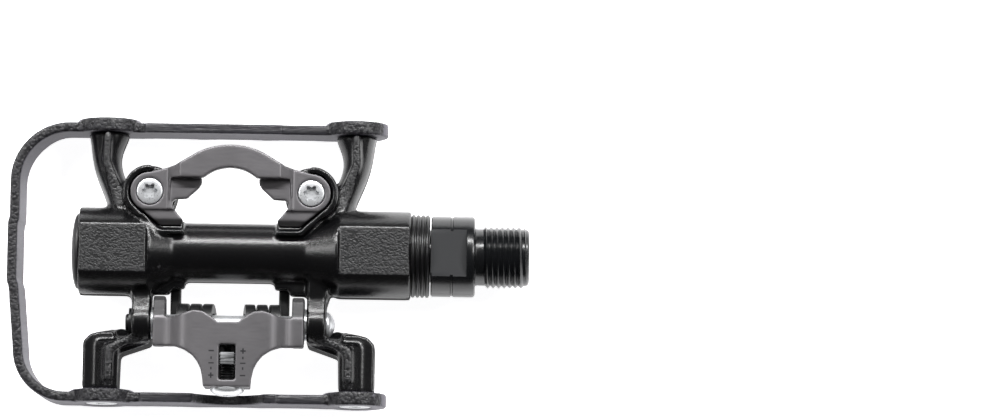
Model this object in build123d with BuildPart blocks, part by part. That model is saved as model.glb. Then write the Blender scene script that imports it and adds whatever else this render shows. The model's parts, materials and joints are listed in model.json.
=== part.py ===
from build123d import *
import os
from math import asin, cos, pi, sin

os.makedirs("parts", exist_ok=True)

# A left-hand clipless pedal with a flat cage round it, in millimetres.
# X runs along the spindle towards the crank, Y points to the toe, Z is up on the cleat side.
# The origin is on the spindle axis, where the crank thread starts.

# Spindle, from the crank end outwards.
thread_r = 7.144
thread_length = 10.1
thread_chamfer = 0.8
neck_r = 6.55
neck_length = 2.3
collar_r = 9.25
collar_length = 10.1
wrench_width = 15.0
wrench_length = 8.2
socket_width = 8.0
socket_depth = 7.0
journal_r = 6.0
core_r = 4.6
nut_thread_r = 3.5

# Body hubs and centre tube, all turned about the spindle axis.
hub_in_x = -17.0
hub_in_end_x = -33.5
tube_in_x = -41.3
tube_out_x = -71.0
hub_out_start_x = -76.9
hub_out_x = -92.7
hub_r = 10.15
tube_r = 6.9
hub_flat_z = 8.5
bush_bore_r = 7.5
tube_bore_r = 5.1
bearing_bore_r = 7.0
cap_bore_r = 7.6

# Ball bearing at the outboard end.
bearing_x = -84.2
bearing_width = 4.0
ball_r = 1.0
ball_pitch_r = 5.5
ball_count = 11
groove_r = 1.03

# The cleat mechanism is symmetrical about the plane X = mech_x.
mech_x = -58.2
pivot_y = -16.3
pivot_z = 1.0
pin_r = 2.0

# Cage bar and its four round pads.
cage_bottom_z = -10.4
cage_top_z = 1.4
cage_bar = 2.3
cage_front_y = 29.8
cage_rear_y = -34.5
cage_out_x = -109.4
pad_r = 7.2
pad_z = -3.1
pad_thickness = 3.1
pad_front_y = 30.6
pad_rear_y = -34.7
pad_front_u = 28.4
pad_rear_u = 28.9

# Cleat plates.
boss_u = 18.4
boss_y = 13.1
boss_r = 4.45
plate_bottom_z = 6.0
plate_thickness = 2.2
plate_rise = 2.8
screw_head_r = 3.0
screw_r = 2.0

# Rear hook, its tension screw and the ears that carry it.
hook_half_width = 17.2
cheek_inner_u = 14.4
hook_top_z = 9.0
hook_thickness = 1.9
tail_end_y = -31.5
tension_z = 5.1
tension_screw_r = 1.75
ear_inner_u = 17.75
ear_outer_u = 22.1
ear_r = 4.8

# Torsion springs, coiled round the pivot pin.
wire_r = 1.15
coil_r = 3.4
coil_pitch = 2.83
coil_turns = 3
spring_leg_u = 12.4

sides = (-1, 1)


def save(part, name):
    """Label a finished piece and write it to its own STEP file."""
    part.label = name
    export_step(part, f"parts/{name}.step")


def dome_middle(rim_r, height):
    """Depth below its top and radius of a point half way down a spherical dome."""
    sphere_r = (rim_r**2 + height**2) / (2 * height)
    half_angle = asin(rim_r / sphere_r) / 2
    return sphere_r * (1 - cos(half_angle)), sphere_r * sin(half_angle)


def mirrored(points):
    """An outline given for the inboard half, completed by its mirror image about u = 0."""
    other = [(-u, v) for u, v in reversed(points) if abs(u) > 0.01]
    return [(mech_x + u, v) for u, v in list(points) + other]


def on_side(points, side):
    """Points given as distance from the mechanism's middle plane, moved to one side of it."""
    return [(mech_x + side * u, v) for u, v in points]


# Spindle: thread, relief neck, wrench collar, plain journal, long core and locknut thread.
collar_x = -neck_length - collar_length
shaft_shoulder_x = bearing_x + bearing_width / 2
nut_thread_x = bearing_x - bearing_width / 2
with BuildPart() as spindle:
    with BuildSketch(Plane.XY):
        with BuildLine():
            Polyline(
                (thread_length, 0),
                (thread_length, thread_r - thread_chamfer),
                (thread_length - thread_chamfer, thread_r),
                (0, thread_r),
                (0, neck_r),
                (-neck_length, neck_r),
                (-neck_length, collar_r - 0.5),
                (-neck_length - 0.5, collar_r),
                (collar_x, collar_r),
                (collar_x, journal_r),
                (-31.0, journal_r),
                (-32.8, core_r),
                (shaft_shoulder_x, core_r),
                (shaft_shoulder_x, 4.0),
                (nut_thread_x, 4.0),
                (nut_thread_x, nut_thread_r),
                (-90.2, nut_thread_r),
                (-90.5, nut_thread_r - 0.3),
                (-90.5, 0),
                close=True,
            )
        make_face()
    revolve(axis=Axis.X)
    with BuildSketch(Plane.YZ.offset(collar_x)):
        Circle(collar_r + 1)
        Rectangle(3 * collar_r, wrench_width, mode=Mode.SUBTRACT)
    extrude(amount=wrench_length, mode=Mode.SUBTRACT)
    with BuildSketch(Plane.YZ.offset(thread_length)):
        RegularPolygon(radius=socket_width / 2, side_count=6, major_radius=False)
    extrude(amount=-socket_depth, mode=Mode.SUBTRACT)
save(spindle.part, "spindle")

# Cast body: turned hubs and tube, then posts, seats, ears, arms and lugs, then the bore.
with BuildPart() as pedal_body:
    with BuildSketch(Plane.XY):
        with BuildLine():
            Polyline(
                (hub_in_x, 0),
                (hub_in_x, hub_r),
                (hub_in_end_x, hub_r),
                (tube_in_x, tube_r),
                (tube_out_x, tube_r),
                (hub_out_start_x, hub_r),
                (hub_out_x, hub_r),
                (hub_out_x, 0),
                close=True,
            )
        make_face()
    revolve(axis=Axis.X)
    # Flats on top of and under each hub.
    for start_x, end_x in ((hub_in_end_x, hub_in_x), (hub_out_x, hub_out_start_x)):
        with BuildSketch(Plane.YZ.offset(start_x)):
            Circle(hub_r + 1)
            Rectangle(3 * hub_r, 2 * hub_flat_z, mode=Mode.SUBTRACT)
        extrude(amount=end_x - start_x, mode=Mode.SUBTRACT)
    # Front posts: waisted arms that lean out to the cage pads.
    post_sections = (
        (24.4, 5.0, 4.4, 6.4, -1.0),
        (25.6, 12.0, 3.3, 5.6, -1.4),
        (28.2, 18.5, 3.2, 5.3, -2.0),
        (28.7, 21.0, 3.3, 5.2, -2.2),
        (28.5, 25.0, 4.1, 5.4, -2.8),
        (28.4, 27.5, 4.75, 5.6, -3.1),
    )
    for side in sides:
        for u, v, half_width, half_height, z in post_sections:
            with BuildSketch(Plane.XZ.offset(-v)):
                with Locations((mech_x + side * u, z)):
                    Ellipse(half_width, half_height)
        loft()
        # Raised rib along the top of the post.
        rib_path = [(24.0, 7.5), (25.0, 12.0), (28.6, 20.5), (28.4, 26.5)]
        with BuildSketch(Plane.XY.offset(-1)):
            with BuildLine():
                rib_line = Polyline(*on_side(rib_path, side))
                offset(rib_line, amount=0.95, side=Side.BOTH)
            make_face()
        extrude(amount=4.9)
    # Seats under the front plate: a pillar for each screw and a leg down to the tube.
    seat_leg = [
        (24.2, 11.0),
        (22.3, 9.0),
        (16.5, 3.3),
        (10.6, 3.3),
        (10.6, 6.6),
        (13.6, 10.0),
        (14.4, 15.0),
    ]
    for side in sides:
        with BuildSketch(Plane.XY.offset(-2.5)):
            with Locations((mech_x + side * boss_u, boss_y)):
                Circle(6.2)
            with BuildLine():
                Polyline(*on_side(seat_leg, side), close=True)
            make_face()
        extrude(amount=plate_bottom_z + 2.5)
        # Level bed for the plate's foot, cut into the hub's cone.
        foot_room = [(21.7, 9.8), (15.8, 4.5), (5.0, 4.5), (5.0, 30.0), (17.9, 30.0), (17.9, 14.0)]
        with BuildSketch(Plane.XY.offset(plate_bottom_z)):
            with BuildLine():
                Polyline(*on_side(foot_room, side), close=True)
            make_face()
        extrude(amount=6, mode=Mode.SUBTRACT)
        # Lip that stands up round the outside of the plate's foot.
        with BuildSketch(Plane.XY.offset(plate_bottom_z)):
            with Locations((mech_x + side * boss_u, boss_y)):
                Circle(6.2)
            with BuildLine():
                Polyline(*on_side(seat_leg, side), close=True)
            make_face()
            with Locations((mech_x + side * boss_u, boss_y)):
                Circle(4.75, mode=Mode.SUBTRACT)
            with BuildLine():
                Polyline(*on_side(foot_room, side), close=True)
            make_face(mode=Mode.SUBTRACT)
        extrude(amount=2.3)
    # Rear ears that carry the hook's pivot pin.
    for side in sides:
        ear_start = min(mech_x + side * ear_inner_u, mech_x + side * ear_outer_u)
        with BuildSketch(Plane.YZ.offset(ear_start)):
            with Locations((pivot_y, pivot_z)):
                Circle(ear_r)
            with BuildLine():
                Polyline(
                    (pivot_y, pivot_z + ear_r - 0.2),
                    (-10.5, 4.3),
                    (-4.0, 5.0),
                    (-4.0, -6.0),
                    (-11.0, -5.0),
                    (pivot_y, pivot_z - ear_r),
                    close=True,
                )
            make_face()
        extrude(amount=ear_outer_u - ear_inner_u)
    # Rear arms: from the ear out and back to a column that meets the cage pad.
    arm_plan = [
        (ear_inner_u, -17.5),
        (22.4, -17.9),
        (24.6, -17.2),
        (31.6, -18.9),
        (33.3, -20.6),
        (33.3, pad_rear_y + pad_thickness),
        (25.1, pad_rear_y + pad_thickness),
        (24.9, -23.5),
        (ear_inner_u, -21.0),
    ]
    for side in sides:
        with BuildSketch(Plane.XY.offset(-8.2)):
            with BuildLine():
                Polyline(*on_side(arm_plan, side), close=True)
            make_face()
        extrude(amount=9.4)
        # Column top that falls away towards its outer side.
        column_face = [(25.1, -5.0), (25.1, 2.0), (26.3, 3.0), (28.4, 3.0), (33.3, -1.0), (33.3, -5.0)]
        with BuildSketch(Plane.XZ.offset(20.6)):
            with BuildLine():
                Polyline(*on_side(column_face, side), close=True)
            make_face()
        extrude(amount=-(pad_rear_y + pad_thickness) - 20.6)
        # Raised rib that runs along the arm and down the column.
        arm_rib = [(20.5, -20.2), (23.6, -20.6), (27.2, -22.6), (27.3, -29.0)]
        with BuildSketch(Plane.XY.offset(-2)):
            with BuildLine():
                arm_line = Polyline(*on_side(arm_rib, side))
                offset(arm_line, amount=0.95, side=Side.BOTH)
            make_face()
        extrude(amount=5.8)
    # Webs between the hub cones and the ears.
    for side in sides:
        web = [(17.2, 0.0), (18.2, -13.0), (21.8, -13.0), (24.0, -6.0), (26.0, 0.0)]
        with BuildSketch(Plane.XY.offset(-5)):
            with BuildLine():
                Polyline(*on_side(web, side), close=True)
            make_face()
        extrude(amount=7.5)
    # Lugs under the tube that the springs' front legs push against.
    for side in sides:
        with Locations((mech_x + side * spring_leg_u, -6.2, 0.5)):
            Box(4.4, 4.4, 3.4)
        with Locations((mech_x + side * 15.9, -6.5, 0.5)):
            Box(4.6, 6.6, 3.4)
    # Bore for the spindle, the bush, the bearing and the dust cap.
    with BuildSketch(Plane.XY):
        with BuildLine():
            Polyline(
                (hub_in_x + 1, 0),
                (hub_in_x + 1, bush_bore_r),
                (-33.0, bush_bore_r),
                (-33.0, tube_bore_r),
                (shaft_shoulder_x, tube_bore_r),
                (shaft_shoulder_x, bearing_bore_r),
                (-90.5, bearing_bore_r),
                (-90.5, cap_bore_r),
                (hub_out_x - 1, cap_bore_r),
                (hub_out_x - 1, 0),
                close=True,
            )
        make_face()
    revolve(axis=Axis.X, mode=Mode.SUBTRACT)
    # Groove for the bearing clip.
    with BuildSketch(Plane.YZ.offset(-87.2)):
        Circle(7.6)
    extrude(amount=0.9, mode=Mode.SUBTRACT)
    # Pin holes, and room for the pin's head and clip outside the ears.
    with BuildSketch(Plane.YZ.offset(mech_x - 30)):
        with Locations((pivot_y, pivot_z)):
            Circle(pin_r)
    extrude(amount=60, mode=Mode.SUBTRACT)
    for side in sides:
        pocket_x = min(mech_x + side * ear_outer_u, mech_x + side * 26.0)
        with BuildSketch(Plane.YZ.offset(pocket_x)):
            with Locations((pivot_y, pivot_z)):
                Circle(3.6)
        extrude(amount=26.0 - ear_outer_u, mode=Mode.SUBTRACT)
    # Threaded holes for the front plate's screws and the cage screws.
    with BuildSketch(Plane.XY.offset(plate_bottom_z + 1)):
        with Locations(*[(mech_x + side * boss_u, boss_y) for side in sides]):
            Circle(screw_r)
    extrude(amount=-9.0, mode=Mode.SUBTRACT)
    with BuildSketch(Plane.XZ.offset(-30.0)):
        with Locations(*[(mech_x + side * pad_front_u, pad_z) for side in sides]):
            Circle(screw_r)
    extrude(amount=10.0, mode=Mode.SUBTRACT)
    with BuildSketch(Plane.XZ.offset(33.0)):
        with Locations(*[(mech_x + side * pad_rear_u, pad_z) for side in sides]):
            Circle(screw_r)
    extrude(amount=-10.0, mode=Mode.SUBTRACT)
save(pedal_body.part, "pedal_body")

# Cage: a bar bent round the body, open towards the crank, with four round screw pads.
with BuildPart() as cage:
    with BuildSketch(Plane.XY.offset(cage_bottom_z)):
        with BuildLine():
            Line((-10, cage_front_y), (-95.4, cage_front_y))
            ThreePointArc((-95.4, cage_front_y), (-105.0, 25.8), (-109.0, 16.2))
            Polyline(
                (-109.0, 16.2),
                (-109.0, 7.8),
                (cage_out_x, 6.6),
                (cage_out_x, -7.0),
                (-108.9, -8.2),
                (-107.6, -22.6),
            )
            ThreePointArc((-107.6, -22.6), (-104.2, -30.9), (-96.1, cage_rear_y))
            Line((-96.1, cage_rear_y), (-10, cage_rear_y))
            Line((-10, cage_rear_y), (-10, cage_front_y))
        make_face()
        offset(amount=-cage_bar, mode=Mode.SUBTRACT)
        with Locations((mech_x + pad_front_u + 20, 0)):
            Rectangle(40, 80, mode=Mode.SUBTRACT)
    extrude(amount=cage_top_z - cage_bottom_z)
    # Raised tread strip along the front bar; the rest of the bar stands a little lower.
    with BuildSketch(Plane.XY.offset(cage_top_z)):
        with Locations((mech_x - 60, 0), (mech_x + 51.2, 0)):
            Rectangle(80, 80)
        with Locations((mech_x, -25)):
            Rectangle(16, 60)
        with Locations((mech_x - 51.5, -25), (mech_x + 51.5, -25)):
            Rectangle(60, 60)
    extrude(amount=-0.5, mode=Mode.SUBTRACT)
    # Shallow scallops in the lower edge of both bars.
    with BuildSketch(Plane.XZ.offset(-40)):
        with Locations(*[(mech_x + u, cage_bottom_z - 29.2) for u in (-14.5, 0, 14.5)]):
            Circle(30)
    extrude(amount=80, mode=Mode.SUBTRACT)
    # Deeper scallop in the rear bar, so that the hook's tail can swing down.
    with BuildSketch(Plane.XZ.offset(25)):
        with Locations((mech_x, 5.3)):
            Circle(8.9)
    extrude(amount=15, mode=Mode.SUBTRACT)
    # Pads.
    with BuildSketch(Plane.XZ.offset(-pad_front_y)):
        with Locations(*[(mech_x + side * pad_front_u, pad_z) for side in sides]):
            Circle(pad_r)
    extrude(amount=pad_thickness)
    with BuildSketch(Plane.XZ.offset(-pad_rear_y)):
        with Locations(*[(mech_x + side * pad_rear_u, pad_z) for side in sides]):
            Circle(pad_r)
    extrude(amount=-pad_thickness)
    # Countersunk screw holes, opening outwards.
    for side in sides:
        front_face = Plane(origin=(mech_x + side * pad_front_u, pad_front_y, pad_z), z_dir=(0, 1, 0))
        rear_face = Plane(origin=(mech_x + side * pad_rear_u, pad_rear_y, pad_z), z_dir=(0, -1, 0))
        with Locations(front_face, rear_face):
            CounterSinkHole(radius=2.15, counter_sink_radius=3.9, depth=pad_thickness)
save(cage.part, "cage")


# Countersunk hex-socket screws through the pads; the front pair faces forward, the rear pair back.
screw_groups = (
    ("cage_screws_front", pad_front_u, pad_front_y, 1),
    ("cage_screws_rear", pad_rear_u, pad_rear_y, -1),
)
for name, screw_u, face_y, out in screw_groups:
    with BuildPart() as cage_screws:
        for side in sides:
            x = mech_x + side * screw_u
            with BuildSketch(Plane.XY.offset(pad_z)):
                with BuildLine():
                    Polyline(
                        (x, face_y - out * 0.1),
                        (x + 3.65, face_y - out * 0.1),
                        (x + 2.0, face_y - out * 1.75),
                        (x + 2.0, face_y - out * 9.2),
                        (x + 1.6, face_y - out * 9.6),
                        (x, face_y - out * 9.6),
                        close=True,
                    )
                make_face()
            revolve(axis=Axis((x, 0, pad_z), (0, 1, 0)))
            with BuildSketch(Plane(origin=(x, face_y, pad_z), x_dir=(1, 0, 0), z_dir=(0, out, 0))):
                RegularPolygon(radius=1.25, side_count=6, major_radius=False)
            extrude(amount=-1.6, mode=Mode.SUBTRACT)
    save(cage_screws.part, name)

# Front cleat plate: a bent strip that arches up between its two screw bosses, with a foot and a
# lower claw on each side.
with BuildPart() as front_cleat_plate:
    arch_bottom_z = plate_bottom_z + plate_rise
    arch_top_z = arch_bottom_z + plate_thickness
    boss_top_z = plate_bottom_z + plate_thickness
    with BuildSketch(Plane.XZ):
        with BuildLine():
            Polyline(
                *mirrored(
                    [
                        (0, arch_top_z),
                        (11.4, arch_top_z),
                        (14.4, boss_top_z),
                        (24.0, boss_top_z),
                        (24.0, plate_bottom_z),
                        (13.8, plate_bottom_z),
                        (10.8, arch_bottom_z),
                        (0, arch_bottom_z),
                    ]
                ),
                close=True,
            )
        make_face()
    extrude(amount=-30)
    with BuildSketch(Plane.XY):
        arch_outer = [(7.6, 21.9), (9.8, 20.6), (12.4, 19.1), (18.6, 17.5), (18.6, 9.0)]
        arch_inner = [(14.0, 9.0), (13.6, 16.1), (6.0, 16.1)]
        arch_right = arch_outer + arch_inner
        with BuildLine():
            Polyline(*on_side(arch_right, 1))
            ThreePointArc((mech_x + 6.0, 16.1), (mech_x, 18.4), (mech_x - 6.0, 16.1))
            Polyline(*on_side(arch_right[::-1], -1))
            ThreePointArc((mech_x - 7.6, 21.9), (mech_x, 23.7), (mech_x + 7.6, 21.9))
        make_face()
        with Locations(*[(mech_x + side * boss_u, boss_y) for side in sides]):
            Circle(boss_r)
    extrude(amount=20, mode=Mode.INTERSECT)
    claw = [
        (14.2, 16.9),
        (6.5, 16.3),
        (6.5, 15.0),
        (7.2, 13.9),
        (9.9, 11.5),
        (12.5, 11.4),
        (13.2, 10.7),
        (13.2, 9.6),
        (10.7, 6.7),
        (11.0, 5.6),
        (15.9, 5.5),
        (21.4, 9.9),
        (18.4, 13.0),
    ]
    for side in sides:
        with BuildSketch(Plane.XY.offset(plate_bottom_z)):
            with BuildLine():
                Polyline(*on_side(claw, side), close=True)
            make_face()
        extrude(amount=plate_thickness)
        # The foot stands a little lower than the boss, and its rear end is bevelled.
        with BuildSketch(Plane.YZ.offset(mech_x + side * 16.0)):
            with BuildLine():
                Polyline((8.9, 9.0), (8.9, 7.7), (6.8, 7.7), (5.4, 6.3), (4.0, 6.3), (4.0, 9.0), close=True)
            make_face()
        extrude(amount=7, both=True, mode=Mode.SUBTRACT)
    with Locations(*[(mech_x + side * boss_u, boss_y, boss_top_z) for side in sides]):
        CounterBoreHole(radius=2.1, counter_bore_radius=3.1, counter_bore_depth=1.1, depth=10)
save(front_cleat_plate.part, "front_cleat_plate")

# Six-lobe screws that hold the front plate.
with BuildPart() as front_plate_screws:
    head_bottom_z = boss_top_z - 1.1
    with Locations(*[(mech_x + side * boss_u, boss_y, head_bottom_z) for side in sides]):
        Cylinder(screw_head_r, 1.35, align=(Align.CENTER, Align.CENTER, Align.MIN))
        Cylinder(screw_r, 8.2, align=(Align.CENTER, Align.CENTER, Align.MAX))
    with BuildSketch(Plane.XY.offset(head_bottom_z + 1.35)):
        with Locations(*[(mech_x + side * boss_u, boss_y) for side in sides]):
            Circle(1.15)
            with PolarLocations(1.15, 6):
                Circle(0.38)
    extrude(amount=-1.0, mode=Mode.SUBTRACT)
save(front_plate_screws.part, "front_plate_screws")

# Rear hook: a bent plate whose nose holds the cleat's heel, with cheeks on the pivot pin and a tail.
hook_bottom_z = hook_top_z - hook_thickness
wing_top_z = hook_top_z - 2.9
with BuildPart() as rear_hook:
    with BuildSketch(Plane.XZ.offset(13)):
        with BuildLine():
            Polyline(
                *mirrored(
                    [
                        (0, hook_top_z),
                        (10.8, hook_top_z),
                        (13.4, wing_top_z),
                        (hook_half_width, wing_top_z),
                        (hook_half_width, wing_top_z - hook_thickness),
                        (12.8, wing_top_z - hook_thickness),
                        (10.2, hook_bottom_z),
                        (0, hook_bottom_z),
                    ]
                ),
                close=True,
            )
        make_face()
    extrude(amount=20)
    with BuildSketch(Plane.XY):
        hook_outline = [
            (0, -16.6),
            (2.2, -16.6),
            (4.6, -14.9),
            (6.0, -14.1),
            (8.0, -14.0),
            (10.3, -14.7),
            (12.0, -15.3),
            (hook_half_width, -15.3),
            (hook_half_width, -21.0),
            (16.9, -21.7),
            (16.2, -22.0),
            (12.0, -22.2),
            (9.8, -23.1),
            (8.0, -24.3),
            (6.8, -25.8),
            (6.0, -27.4),
            (5.6, -29.4),
            (5.4, tail_end_y),
        ]
        with BuildLine():
            Polyline(*mirrored(hook_outline), close=True)
        make_face()
        with Locations((mech_x, -25.8)):
            Rectangle(3.7, 8.0, mode=Mode.SUBTRACT)
    extrude(amount=20, mode=Mode.INTERSECT)
    # Cheeks on the pin, each with an arm that reaches forward to its stop.
    for side in sides:
        cheek_x = min(mech_x + side * cheek_inner_u, mech_x + side * hook_half_width)
        with BuildSketch(Plane.YZ.offset(cheek_x)):
            with Locations((pivot_y, pivot_z)):
                Circle(4.2)
            with BuildLine():
                Polyline(
                    (-10.3, 3.2),
                    (-11.5, 5.2),
                    (-15.3, wing_top_z - 0.2),
                    (-22.0, wing_top_z - 0.2),
                    (-22.0, 2.8),
                    (-19.3, -2.0),
                    (-13.4, -2.0),
                    (-10.3, -0.6),
                    close=True,
                )
            make_face()
            with Locations((pivot_y, pivot_z)):
                Circle(pin_r + 0.04, mode=Mode.SUBTRACT)
        extrude(amount=hook_half_width - cheek_inner_u)
    # End wall that carries the tension screw.
    with BuildSketch(Plane.XZ.offset(-tail_end_y)):
        with Locations((mech_x, 4.9)):
            Rectangle(10.6, 5.2)
        with Locations((mech_x, tension_z)):
            Circle(tension_screw_r + 0.08, mode=Mode.SUBTRACT)
    extrude(amount=-1.7)
    # Foot of the end wall, bent forward under the screw.
    with Locations((mech_x, -28.0, 2.45)):
        Box(9.0, 3.8, 0.9)
save(rear_hook.part, "rear_hook")

# Tension screw, its nut and the plate that the nut draws against the springs.
with BuildPart() as tension_screw:
    with BuildSketch(Plane.XY.offset(tension_z)):
        head_y = tail_end_y - 0.05
        with BuildLine():
            Polyline(
                (mech_x, -22.9),
                (mech_x + tension_screw_r - 0.3, -22.9),
                (mech_x + tension_screw_r, -23.2),
                (mech_x + tension_screw_r, head_y),
                (mech_x + 3.9, head_y),
                (mech_x + 3.9, head_y - 0.5),
            )
            middle_depth, middle_r = dome_middle(3.9, 1.3)
            ThreePointArc(
                (mech_x + 3.9, head_y - 0.5),
                (mech_x + middle_r, head_y - 1.8 + middle_depth),
                (mech_x, head_y - 1.8),
            )
            Line((mech_x, head_y - 1.8), (mech_x, -22.9))
        make_face()
    revolve(axis=Axis((mech_x, 0, tension_z), (0, 1, 0)))
    with BuildSketch(Plane(origin=(mech_x, head_y - 1.8, tension_z), x_dir=(1, 0, 0), z_dir=(0, -1, 0))):
        RegularPolygon(radius=1.25, side_count=6, major_radius=False)
    extrude(amount=-1.3, mode=Mode.SUBTRACT)
save(tension_screw.part, "tension_screw")

nut_y = -24.9
with BuildPart() as tension_nut:
    with Locations((mech_x, nut_y, 5.0)):
        Box(6.4, 2.7, 3.9)
    with Locations((mech_x, nut_y, 7.7)):
        Box(3.0, 2.7, 1.7)
    with BuildSketch(Plane.XZ.offset(-nut_y - 3)):
        with Locations((mech_x, tension_z)):
            Circle(tension_screw_r + 0.04)
    extrude(amount=6, mode=Mode.SUBTRACT)
save(tension_nut.part, "tension_nut")

with BuildPart() as spring_plate:
    with BuildSketch(Plane.XZ.offset(-nut_y - 1.35 - 1.4)):
        with BuildLine():
            Polyline(
                (mech_x - 5.0, -1.2),
                (mech_x + 5.0, -1.2),
                (mech_x + 5.0, 3.0),
                (mech_x + 3.4, 6.9),
                (mech_x - 3.4, 6.9),
                (mech_x - 5.0, 3.0),
                close=True,
            )
        make_face()
    extrude(amount=1.4)
    # Flange bent forward along the plate's top, slotted with the plate for the screw.
    with Locations((mech_x, -21.6, 6.4)):
        Box(6.8, 1.4, 1.0)
    with Locations((mech_x, -22.0, tension_z)):
        Cylinder(tension_screw_r + 0.2, 6.0, rotation=(90, 0, 0), mode=Mode.SUBTRACT)
save(spring_plate.part, "spring_plate")

# Torsion springs: a leg forward under the tube's lug, three turns, and a leg back under the plate.
leg_x = mech_x + spring_leg_u
inner_x = leg_x - coil_turns * coil_pitch
coil_plane = Plane(origin=(leg_x, pivot_y, pivot_z), x_dir=(0, 0, -1), z_dir=(-1, 0, 0))
coil_path = coil_plane * Helix(coil_pitch, coil_turns * coil_pitch, coil_r)
with BuildPart() as torsion_spring:
    with BuildSketch(Plane(origin=coil_path @ 0, z_dir=coil_path % 0)):
        Circle(wire_r)
    sweep(path=coil_path, is_frenet=True)
    with BuildSketch(Plane.XZ.offset(-pivot_y + 0.7)):
        with Locations((leg_x, pivot_z - coil_r)):
            Circle(wire_r)
    extrude(amount=-9.7)
    with BuildSketch(Plane.XZ.offset(-pivot_y - 0.7)):
        with Locations((inner_x, pivot_z - coil_r)):
            Circle(wire_r)
    extrude(amount=8.7)
save(torsion_spring.part, "torsion_spring_inboard")
save(mirror(torsion_spring.part, about=Plane.YZ.offset(mech_x)), "torsion_spring_outboard")

# Pivot pin with a domed head, its clip and the thin washers beside the hook.
with BuildPart() as pivot_pin:
    head_x = mech_x + ear_outer_u + 0.02
    with BuildSketch(Plane.XY.offset(pivot_z)):
        with BuildLine():
            Polyline(
                (mech_x - 23.6, pivot_y),
                (mech_x - 23.6, pivot_y + 1.7),
                (mech_x - 23.3, pivot_y + pin_r - 0.02),
                (mech_x - 22.85, pivot_y + pin_r - 0.02),
                (mech_x - 22.85, pivot_y + 1.5),
                (mech_x - 22.2, pivot_y + 1.5),
                (mech_x - 22.2, pivot_y + pin_r - 0.02),
                (head_x, pivot_y + pin_r - 0.02),
                (head_x, pivot_y + 3.0),
                (head_x + 0.5, pivot_y + 3.0),
            )
            middle_depth, middle_r = dome_middle(3.0, 1.6)
            ThreePointArc(
                (head_x + 0.5, pivot_y + 3.0),
                (head_x + 2.1 - middle_depth, pivot_y + middle_r),
                (head_x + 2.1, pivot_y),
            )
            Line((head_x + 2.1, pivot_y), (mech_x - 23.6, pivot_y))
        make_face()
    revolve(axis=Axis((0, pivot_y, pivot_z), (1, 0, 0)))
save(pivot_pin.part, "pivot_pin")

with BuildPart() as pivot_clip:
    with BuildSketch(Plane.YZ.offset(mech_x - 22.8)):
        with Locations((pivot_y, pivot_z)):
            Circle(3.3)
            Circle(1.52, mode=Mode.SUBTRACT)
        with Locations((pivot_y, pivot_z - 3.0)):
            Rectangle(2.4, 4.4, mode=Mode.SUBTRACT)
    extrude(amount=0.55)
save(pivot_clip.part, "pivot_clip")

with BuildPart() as pivot_washers:
    for side in sides:
        washer_x = min(mech_x + side * 17.27, mech_x + side * 17.72)
        with BuildSketch(Plane.YZ.offset(washer_x)):
            with Locations((pivot_y, pivot_z)):
                Circle(3.6)
                Circle(pin_r + 0.01, mode=Mode.SUBTRACT)
        extrude(amount=0.45)
save(pivot_washers.part, "pivot_washers")


def ring(inner_r, outer_r, start_x, end_x):
    """A plain ring round the spindle axis."""
    with Locations(((start_x + end_x) / 2, 0, 0)):
        Cylinder(outer_r, end_x - start_x, rotation=(0, 90, 0))
        Cylinder(inner_r, end_x - start_x, rotation=(0, 90, 0), mode=Mode.SUBTRACT)


# Ribbed rubber boot between the hub and the wrench collar.
with BuildPart() as boot_seal:
    rib_count = 4
    boot_start_x = hub_in_x
    rib_pitch = (collar_x - 0.3 - boot_start_x) / rib_count
    with BuildSketch(Plane.XY):
        with BuildLine():
            for rib in range(rib_count):
                rib_x = boot_start_x + rib * rib_pitch
                ThreePointArc(
                    (rib_x, 9.08), (rib_x + rib_pitch / 2, 9.5), (rib_x + rib_pitch, 9.08)
                )
            Polyline(
                (boot_start_x + rib_count * rib_pitch, 9.08),
                (boot_start_x + rib_count * rib_pitch, journal_r + 0.3),
                (boot_start_x, journal_r + 0.3),
                (boot_start_x, 9.08),
            )
        make_face()
    revolve(axis=Axis.X)
save(boot_seal.part, "boot_seal")

with BuildPart() as lip_seal:
    with BuildSketch(Plane.XY):
        with BuildLine():
            Polyline(
                (-20.2, bush_bore_r),
                (-17.2, bush_bore_r),
                (-17.2, 6.4),
                (-18.0, 6.08),
                (-18.6, 6.08),
                (-19.2, 6.6),
                (-20.2, 6.6),
                close=True,
            )
        make_face()
    revolve(axis=Axis.X)
save(lip_seal.part, "lip_seal")

with BuildPart() as spindle_bush:
    ring(journal_r + 0.04, bush_bore_r, -31.0, -20.5)
    # Split along its length, as a rolled bush is.
    with Locations((-25.75, 6.8, 0)):
        Box(11, 2.4, 0.4, mode=Mode.SUBTRACT)
save(spindle_bush.part, "spindle_bush")

# Ball bearing, with a groove for the balls in each ring.
race_start_x = bearing_x - bearing_width / 2
race_end_x = bearing_x + bearing_width / 2
bearing_rings = (("bearing_outer_ring", 6.05, bearing_bore_r), ("bearing_inner_ring", 4.0, 4.95))
for name, inner_r, outer_r in bearing_rings:
    with BuildPart() as race:
        ring(inner_r, outer_r, race_start_x, race_end_x)
        with BuildSketch(Plane.XY):
            with Locations((bearing_x, ball_pitch_r)):
                Circle(groove_r)
        revolve(axis=Axis.X, mode=Mode.SUBTRACT)
    save(race.part, name)

ball_angles = [2 * pi * ball / ball_count for ball in range(ball_count)]
ball_centres = [(bearing_x, ball_pitch_r * cos(a), ball_pitch_r * sin(a)) for a in ball_angles]
with BuildPart() as bearing_balls:
    with Locations(*ball_centres):
        Sphere(ball_r)
save(bearing_balls.part, "bearing_balls")

with BuildPart() as ball_retainer:
    ring(5.15, 5.85, bearing_x - 1.5, bearing_x + 1.5)
    with Locations(*ball_centres):
        Sphere(ball_r + 0.05, mode=Mode.SUBTRACT)
save(ball_retainer.part, "ball_retainer")

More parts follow.
